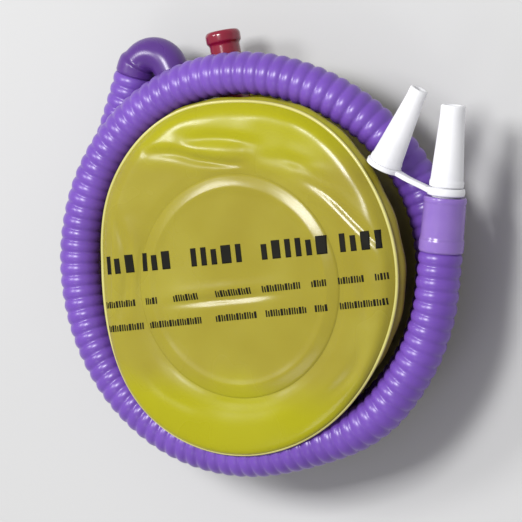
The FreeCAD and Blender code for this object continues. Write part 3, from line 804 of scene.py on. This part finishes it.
def printed_rows(film):
    """Usage print on the film, as plain strokes: one piece on the tread, one round it."""
    corners = []
    polygons = []
    for piece in film:
        offset = len(corners)
        corners += [vertex.co / MM for vertex in piece.data.vertices]
        polygons += [tuple(index + offset for index in face.vertices) for face in piece.data.polygons]
    surface = BVHTree.FromPolygons(corners, polygons)
    parts = {"tread_print": ([], []), "bag_print": ([], [])}
    for row in (HEADING, SECOND_ROW, THIRD_ROW):
        slope = math.radians(row["slope"])
        heading = Vector((math.cos(slope), math.sin(slope)))
        for along, width, height in row_marks(row):
            corner = Vector(row["start"]) + heading * along
            patch = print_patch(surface, corner, width, height, slope)
            if patch is None:
                continue
            on_tread = (corner - Vector(TREAD_CENTRE)).length < TREAD_RIM - 0.1
            points, faces = parts["tread_print" if on_tread else "bag_print"]
            offset = len(points)
            points += patch[0]
            faces += [tuple(index + offset for index in face) for face in patch[1]]
    for name, (points, faces) in parts.items():
        piece = new_object(name, points, faces, INK)
        if name == "tread_print":
            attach(piece, "tread")
        else:
            blend_film(piece, points)


def spring():
    """The return spring: a coil of wire with flat end turns."""
    line = []
    low = SPRING_FOOT + SPRING_WIRE / 2
    high = SPRING_TOP - SPRING_WIRE / 2
    for step in range((SPRING_TURNS + 1) * SPRING_STEPS + 1):
        angle = 2 * math.pi * step / SPRING_STEPS
        share = min(max((step / SPRING_STEPS - 0.5) / SPRING_TURNS, 0.0), 1.0)
        line.append((TREAD_CENTRE[0] + SPRING_RADIUS * math.cos(angle),
                     TREAD_CENTRE[1] + SPRING_RADIUS * math.sin(angle),
                     low + (high - low) * share))
    piece = tube("return_spring_coil", line, [SPRING_WIRE / 2] * len(line), SPRING_AROUND, STEEL)
    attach(piece, "base")
    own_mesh(piece)
    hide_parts("return_spring")


# ---------------------------------------------------------------- hose

def elbow_points():
    """Centreline of the elbow, from its socket on the outlet to its open end."""
    bend_start = direction(OUTLET_HEADING) * ELBOW_BEND_START
    centre = bend_start + direction(OUTLET_HEADING + 90) * ELBOW_BEND
    straight = np.linspace(ELBOW_START, ELBOW_START + ELBOW_STRAIGHT, ELBOW_STRAIGHT_POINTS)
    points = [direction(OUTLET_HEADING) * reach for reach in straight]
    for step in range(ELBOW_BEND_STEPS + 1):
        heading = OUTLET_HEADING - 90 + ELBOW_TURN * step / ELBOW_BEND_STEPS
        points.append(centre + direction(heading) * ELBOW_BEND)
    mouth = points[-1] + direction(OUTLET_HEADING + ELBOW_TURN) * ELBOW_TAIL
    points += [points[-1].lerp(mouth, share) for share in (0.25, 0.5, 0.75, 1.0)]
    for point in points:
        point.z = PORT_HEIGHT
    return points


def strand_height(angle):
    """Height of the coil at this angle: the lower strand, a smooth climb, the upper strand."""
    climb = float(smooth_step(angle, CLIMB_START, CLIMB_END))
    return LOWER_STRAND + (UPPER_STRAND - LOWER_STRAND) * climb


def hose_end():
    """Centre of the hose's last section."""
    return Vector((*HOSE_END, UPPER_STRAND))


def hose_route():
    """Control points of the hose, from the elbow round the waist to the cuff."""
    step = 360.0 / COIL_POINTS
    corner_radius = COIL_RADIUS / math.cos(math.radians(step / 2))
    mouth = elbow_points()[-1]
    points = [mouth, mouth + direction(OUTLET_HEADING + ELBOW_TURN) * LEAD_IN]
    points += [Vector((x, y, LOWER_STRAND)) for x, y in HOSE_LEAD_IN]
    angle = COIL_FIRST_ANGLE
    while angle <= COIL_LAST_ANGLE:
        away = (angle - BULGE_ANGLE) / BULGE_WIDTH
        point = direction(angle) * (corner_radius + BULGE * math.exp(-away * away))
        point.y += COIL_CENTRE
        point.z = strand_height(angle)
        points.append(point)
        angle += step
    points += [Vector((x, y, UPPER_STRAND)) for x, y in HOSE_LEAD_OUT]
    points += [hose_end() - direction(NOZZLE_HEADING) * LEAD_OUT, hose_end()]
    return points


def spline_line(points):
    """Points along the smooth NURBS line that has these control points."""
    curve = bpy.data.curves.new("hose_route", "CURVE")
    curve.dimensions = "3D"
    curve.resolution_u = 24
    spline = curve.splines.new("NURBS")
    spline.points.add(len(points) - 1)
    for place, point in zip(spline.points, points):
        place.co = (*(point * MM), 1.0)
    spline.order_u = 3
    spline.use_endpoint_u = True
    holder = bpy.data.objects.new("hose_route", curve)
    bpy.context.scene.collection.objects.link(holder)
    graph = bpy.context.evaluated_depsgraph_get()
    mesh = bpy.data.meshes.new_from_object(holder.evaluated_get(graph))
    line = np.array([vertex.co for vertex in mesh.vertices]) / MM
    bpy.data.objects.remove(holder)
    bpy.data.meshes.remove(mesh)
    return line


def resample(line, count):
    """The same line with points evenly spaced along it, and its length."""
    gaps = np.linalg.norm(np.diff(line, axis=0), axis=1)
    reached = np.concatenate([[0.0], np.cumsum(gaps)])
    wanted = np.linspace(0, reached[-1], count)
    spaced = np.stack([np.interp(wanted, reached, line[:, axis]) for axis in range(3)], axis=1)
    return spaced, reached[-1]


# One rib's height along the hose, as shares of its depth
RIB_SHAPE = [0.0, 0.45, 0.76, 0.94, 1.0, 0.94, 0.76, 0.45]


def hose():
    """The corrugated hose, and its length and centreline in millimetres."""
    route = spline_line(hose_route())
    _, length = resample(route, 2)
    ribs = round(length / RIB_PITCH)
    line, _ = resample(route, ribs * len(RIB_SHAPE) + 1)
    crest = HOSE_DIAMETER / 2
    radii = [crest - RIB_DEPTH * (1 - RIB_SHAPE[index % len(RIB_SHAPE)]) for index in range(len(line))]
    piece = tube("corrugated_hose", line, radii, HOSE_AROUND, PURPLE)
    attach(piece, "base")
    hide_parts("hose")
    return piece, length, line[::len(RIB_SHAPE) // 2]


def elbow():
    """Moulded elbow with a lip at its socket and a collar over the hose's end."""
    line = np.array([tuple(point) for point in elbow_points()])
    line, length = resample(line, ELBOW_POINTS)
    reached = np.linspace(0, length, len(line))
    radii = ELBOW_RADIUS + 0 * reached
    radii += ELBOW_LIP * (1 - smooth_step(reached, 1.2, 2.4))
    radii += ELBOW_COLLAR * smooth_step(reached, length - 4.5, length - 3.4)
    from_end = np.minimum(reached, length - reached)
    radii -= ELBOW_ROUNDING * (1 - smooth_step(from_end, 0.0, 0.6)) ** 2
    piece = tube("outlet_elbow_shell", line, radii, ELBOW_AROUND, ELBOW_PURPLE)
    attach(piece, "base")
    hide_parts("outlet_elbow")


def inlet():
    """The red inlet port: tube, rolled lip and open mouth."""
    corners = [
        (3.2, 43.6, 0.0), (6.2, 43.6, 0.3), (6.2, 45.0, 0.3), (4.4, 45.0, 0.0), (4.4, 48.3, 0.0),
        (4.75, 48.3, 0.2), (4.75, 49.8, 0.2), (4.4, 49.8, 0.0), (4.4, 65.2, 0.4), (5.1, 66.0, 0.4),
        (5.15, 68.4, 0.7), (4.4, 69.2, 0.5), (3.6, 69.2, 0.3), (3.2, 68.2, 0.3),
    ]
    piece = lathe("inlet_port_shell", corners, (0, 0, PORT_HEIGHT), direction(INLET_HEADING), RED)
    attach(piece, "base")
    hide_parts("inlet_port")


def nozzle_origin():
    """Inner end of the nozzle's shank."""
    return hose_end() + direction(NOZZLE_HEADING) * (CUFF_LENGTH + SHOULDER_GAP - SHANK_LENGTH)


def cuff():
    """Smooth cuff on the hose's end: soft collar, long barrel and rolled front edge."""
    corners = [
        (2.5, 0.0, 0.0), (6.0, 0.0, 0.4), (6.3, 0.6, 0.4), (6.3, 3.4, 0.5), (6.05, 4.2, 0.5),
        (5.9, 13.8, 0.3), (6.05, 14.3, 0.2), (6.0, CUFF_LENGTH, 0.5), (3.8, CUFF_LENGTH, 0.3),
        (3.8, 4.0, 0.0), (2.5, 4.0, 0.0),
    ]
    piece = lathe("hose_end_cuff_shell", corners, hose_end(), direction(NOZZLE_HEADING), CUFF_PURPLE)
    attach(piece, "base")
    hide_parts("hose_end_cuff")
    return piece


def nozzle():
    """Tapered white nozzle with a stepped base and a rounded tip."""
    tip = SHANK_LENGTH + NOZZLE_LENGTH
    corners = [
        (2.0, 0.0, 0.2), (3.75, 0.0, 0.3), (3.75, SHANK_LENGTH, 0.0), (4.0, SHANK_LENGTH, 0.0),
        (4.0, 13.3, 0.0), (4.8, 13.3, 0.25), (4.85, 14.6, 0.3), (4.6, 15.2, 0.3),
        (3.47, tip - 3.5, 1.0), (3.45, tip, 0.7), (2.3, tip, 0.3), (2.0, tip - 1.0, 0.3),
    ]
    piece = lathe("nozzle_shell", corners, nozzle_origin(), direction(NOZZLE_HEADING), WHITE)
    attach(piece, "nozzle")
    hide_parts("nozzle")
    return piece


def adapter():
    """Small white adapter, open at its base for the nozzle's tip."""
    corners = [
        (3.5, 0.0, 0.2), (4.65, 0.0, 0.2), (4.65, 1.2, 0.3), (4.4, 1.8, 0.3), (2.62, 20.3, 1.0),
        (2.6, 23.3, 0.6), (1.7, 23.3, 0.25), (1.5, 22.6, 0.25), (1.5, 7.0, 0.0), (3.5, 7.0, 0.0),
    ]
    piece = lathe("adapter_shell", corners, ADAPTER_PLACE, direction(ADAPTER_HEADING), WHITE)
    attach(piece, "tether")
    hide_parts("adapter_nozzle")
    return piece


def tether():
    """White tether: a ring on the nozzle's neck, a soft flat band and the adapter's loop."""
    nozzle_axis = direction(NOZZLE_HEADING)
    adapter_axis = direction(ADAPTER_HEADING)
    ring_start = nozzle_origin() + nozzle_axis * NECK_START
    loop_start = Vector(ADAPTER_PLACE) - adapter_axis * BAND_THICKNESS
    ring_corners = [
        (4.06, 0.0, 0.2), (5.2, 0.0, 0.5), (5.4, 1.1, 0.5), (5.2, RING_WIDTH, 0.5),
        (4.06, RING_WIDTH, 0.2),
    ]
    loop_corners = [
        (3.5, 0.0, 0.2), (5.1, 0.0, 0.4), (5.1, BAND_THICKNESS, 0.4), (3.5, BAND_THICKNESS, 0.2),
    ]
    ring = lathe("tether_ring", ring_corners, ring_start, nozzle_axis, WHITE)
    loop = lathe("tether_loop", loop_corners, loop_start, adapter_axis, WHITE)
    across = direction(ADAPTER_HEADING - 90)
    line = []
    for share in np.linspace(0, 1, BAND_POINTS):
        place = loop_start + across * (BAND_START + (BAND_LENGTH + BAND_OVERLAP) * share)
        place.z -= BAND_DIP * float(smooth_step(share, 0.3, 1.0))
        line.append(place + adapter_axis * (BAND_THICKNESS / 2))
    section = []
    for step in range(BAND_AROUND):
        angle = 2 * math.pi * step / BAND_AROUND
        wide = abs(math.cos(angle)) ** BAND_SQUARENESS * math.copysign(0.5, math.cos(angle))
        thick = abs(math.sin(angle)) ** BAND_SQUARENESS * math.copysign(0.5, math.sin(angle))
        section.append((wide, thick))
    points = []
    for index, place in enumerate(line):
        waist = 1 - BAND_NARROWING * math.sin(math.pi * index / (len(line) - 1))
        for wide, thick in section:
            upward = Vector((0, 0, wide * BAND_WIDTH * waist))
            points.append(place + upward - adapter_axis * thick * BAND_THICKNESS)
    faces = grid_faces(len(line), len(section))
    faces.append(tuple(reversed(range(len(section)))))
    faces.append(tuple(range((len(line) - 1) * len(section), len(points))))
    band = new_object("tether_band", points, faces, WHITE)
    for piece in (ring, loop, band):
        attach(piece, "tether")
        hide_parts("tether_strap")
    return [ring, loop, band]


# ---------------------------------------------------------------- scene

def paint_kept_nodes():
    """Gives each CAD node that stays its own procedural material."""
    painted = {
        "base_plate": DISC, "tread_plate": DISC,
        "outlet_spigot": ELBOW_PURPLE, "outlet_wall_ring": ELBOW_PURPLE,
        "outlet_valve_seat": VALVE, "outlet_flap_stop": VALVE, "outlet_flap": RUBBER,
        "inlet_wall_ring": RED,
        "inlet_valve_seat": VALVE, "inlet_flap_stop": VALVE, "inlet_flap": RUBBER,
    }
    for node, material in painted.items():
        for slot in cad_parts[node].material_slots:
            slot.material = material


# Floor: half its width, and its height, just under the base so that the two don't coincide
FLOOR_REACH = 3000.0
FLOOR_HEIGHT = -0.05


def floor():
    """Plain pale floor, which is the whole background."""
    sides = ((-1, -1), (1, -1), (1, 1), (-1, 1))
    corners = [(x * FLOOR_REACH, y * FLOOR_REACH, FLOOR_HEIGHT) for x, y in sides]
    material, nodes, links = new_material("pale_floor")
    shader = nodes["Principled BSDF"]
    shade = noise_node(nodes, links, 3.0)
    grey = ramp_between(nodes, links, shade, (0.51, 0.51, 0.51), (0.54, 0.54, 0.54))
    links.new(grey, shader.inputs["Base Color"])
    set_inputs(shader, {"Roughness": 0.7})
    new_object("floor", corners, [(0, 1, 2, 3)], material)


# Camera: the way back to it from the point that it looks at, and the width that it sees there
VIEW_DIRECTION = Vector((0.461, 0.09, 0.881)).normalized()
VIEW_CENTRE = Vector((3.0, 2.0, 26.0))
VIEW_DISTANCE = 900.0
VIEW_SPAN = 150.0


def camera():
    """Camera that looks down on the tread, tilted to the nozzle's side, with the ports at the top."""
    data = bpy.data.cameras.new("camera")
    holder = bpy.data.objects.new("camera", data)
    bpy.context.scene.collection.objects.link(holder)
    right = Vector((0, 1, 0)).cross(VIEW_DIRECTION).normalized()
    up = VIEW_DIRECTION.cross(right)
    turn = Matrix((right, up, VIEW_DIRECTION)).transposed().to_4x4()
    place = (VIEW_CENTRE + VIEW_DIRECTION * VIEW_DISTANCE) * MM
    holder.matrix_world = Matrix.Translation(place) @ turn
    data.lens = data.sensor_width * VIEW_DISTANCE / VIEW_SPAN
    data.clip_start = 0.01
    data.clip_end = 20.0
    bpy.context.scene.camera = holder


# Lights: place and size in millimetres, and power in watts. Each faces the middle of the pump.
LIGHTS = {
    "key": {"place": (-80, 290, 950), "width": 240, "height": 240, "power": 7.2},
    "left": {"place": (-550, 270, 790), "width": 210, "height": 210, "power": 3.2},
    "low": {"place": (-100, -480, 860), "width": 300, "height": 200, "power": 0.5},
}
LIGHT_TARGET = (0, 0, 20)
SKY_STRENGTH = 0.45


def area_light(name, place, width, height, power):
    """A soft rectangular light that faces the pump."""
    data = bpy.data.lights.new(name, "AREA")
    data.shape = "RECTANGLE"
    data.size = width * MM
    data.size_y = height * MM
    data.energy = power
    holder = bpy.data.objects.new(name, data)
    bpy.context.scene.collection.objects.link(holder)
    place = Vector(place) * MM
    holder.location = place
    holder.rotation_euler = (Vector(LIGHT_TARGET) * MM - place).to_track_quat("-Z", "Y").to_euler()


def lighting():
    """Plain soft studio light: a key nearly overhead, one light from -X, a faint one from -Y, a sky."""
    world = bpy.data.worlds.new("studio")
    bpy.context.scene.world = world
    bpy.context.scene.view_settings.view_transform = "Standard"
    world.use_nodes = True
    set_inputs(world.node_tree.nodes["Background"], {"Color": (1, 1, 1, 1), "Strength": SKY_STRENGTH})
    for name, light in LIGHTS.items():
        area_light(name, **light)


base_skin()
weld_seam()
printed_rows([side_skin(), tread_skin()])
spring()
hose_piece, hose_length, hose_line = hose()
elbow()
inlet()
cuff_piece = cuff()
nozzle_piece = nozzle()
adapter_piece = adapter()
tether_pieces = tether()
paint_kept_nodes()
floor()
camera()
lighting()
